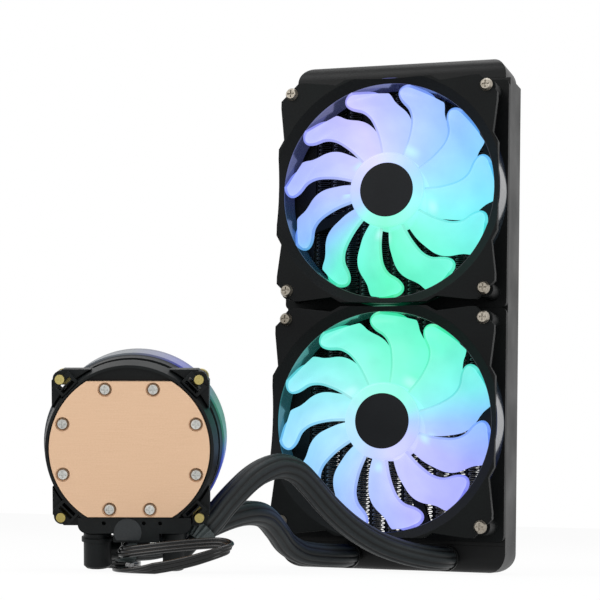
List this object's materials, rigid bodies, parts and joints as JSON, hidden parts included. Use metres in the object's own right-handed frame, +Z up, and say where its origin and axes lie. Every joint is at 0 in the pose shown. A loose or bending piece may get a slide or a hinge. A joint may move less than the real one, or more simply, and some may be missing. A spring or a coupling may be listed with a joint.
{
  "type": "all in one cpu liquid cooler",
  "caption": "Closed-loop liquid cooler for a processor: radiator with lit fans, round pump with copper cold plate and stud bracket, rubber hoses and a flat cable.",
  "frame": {"origin": "centre of the radiator's foot, on the surface it stands on", "axes": "+Z up along the radiator, -Y towards the fans' front, +X to the right as seen from the fans' front"},
  "size_m": [0.19, 0.2167, 0.27],
  "materials": {
    "radiator_black": "satin",
    "tube_metal": "satin",
    "fin_metal": "satin",
    "frame_plastic": "matte",
    "light_guide": "frosted",
    "winding": "enamelled",
    "bearing_brass": "polished",
    "led_board": "matte",
    "frosted_glow": "frosted",
    "magnet_dark": "matte",
    "shaft_steel": "polished",
    "cap_black": "satin",
    "screw_nickel": "satin",
    "pump_plastic": "satin",
    "cold_copper": "finely brushed copper",
    "seal_rubber": "matte",
    "plate_screw_steel": "bright",
    "stud_brass": "satin",
    "disc_grey": "matte",
    "collar_grey": "satin",
    "impeller_white": "satin",
    "board_green": "matte",
    "connector_white": "satin",
    "hose_rubber": "satin",
    "cable_pvc": "gloss"
  },
  "bodies": {
    "cooler": {"lower_tank": "radiator_black", "upper_tank": "radiator_black", "lower_header": "radiator_black", "upper_header": "radiator_black", "left_side_plate": "radiator_black", "right_side_plate": "radiator_black", "coolant_tubes": "tube_metal", "cooling_fins": "fin_metal", "upper_fan_frame": "frame_plastic", "upper_fan_light_ring": "light_guide", "upper_fan_stator": "winding", "upper_fan_bearing": "bearing_brass", "upper_fan_led_board": "led_board", "upper_fan_screws": "screw_nickel", "lower_fan_frame": "frame_plastic", "lower_fan_light_ring": "light_guide", "lower_fan_stator": "winding", "lower_fan_bearing": "bearing_brass", "lower_fan_led_board": "led_board", "lower_fan_screws": "screw_nickel", "pump_housing": "pump_plastic", "cold_plate": "cold_copper", "cold_plate_seal": "seal_rubber", "cold_plate_screws": "plate_screw_steel", "mounting_bracket": "pump_plastic", "mounting_studs": "stud_brass", "hose_manifold": "pump_plastic", "manifold_disc": "disc_grey", "left_elbow": "pump_plastic", "right_elbow": "pump_plastic", "left_hose_collar": "collar_grey", "right_hose_collar": "collar_grey", "impeller_shaft": "shaft_steel", "pump_stator": "winding", "pump_board": "board_green", "pump_light_ring": "light_guide", "pump_cap": "pump_plastic", "wire_connector": "connector_white", "front_hose": "hose_rubber", "rear_hose": "hose_rubber", "pump_cable": "cable_pvc", "cable_hank": "cable_pvc", "cable_plug": "cable_pvc"},
    "upper_fan_wheel": {"upper_fan_rotor": "frosted_glow", "upper_fan_magnet": "magnet_dark", "upper_fan_shaft": "shaft_steel", "upper_fan_hub_cap": "cap_black"},
    "lower_fan_wheel": {"lower_fan_rotor": "frosted_glow", "lower_fan_magnet": "magnet_dark", "lower_fan_shaft": "shaft_steel", "lower_fan_hub_cap": "cap_black"},
    "pump_impeller": {"impeller": "impeller_white", "impeller_magnet": "magnet_dark"}
  },
  "joints": [
    {"name": "upper_fan_spin", "type": "hinge", "parent": "cooler", "child": "upper_fan_wheel", "pos_m": [0, -0.026, 0.196], "axis": [0, -1, 0], "continuous": true},
    {"name": "lower_fan_spin", "type": "hinge", "parent": "cooler", "child": "lower_fan_wheel", "pos_m": [0, -0.026, 0.076], "axis": [0, -1, 0], "continuous": true},
    {"name": "impeller_spin", "type": "hinge", "parent": "cooler", "child": "pump_impeller", "pos_m": [-0.074, -0.186, 0.054], "axis": [0.2986, -0.9358, -0.1874], "continuous": true}
  ]
}
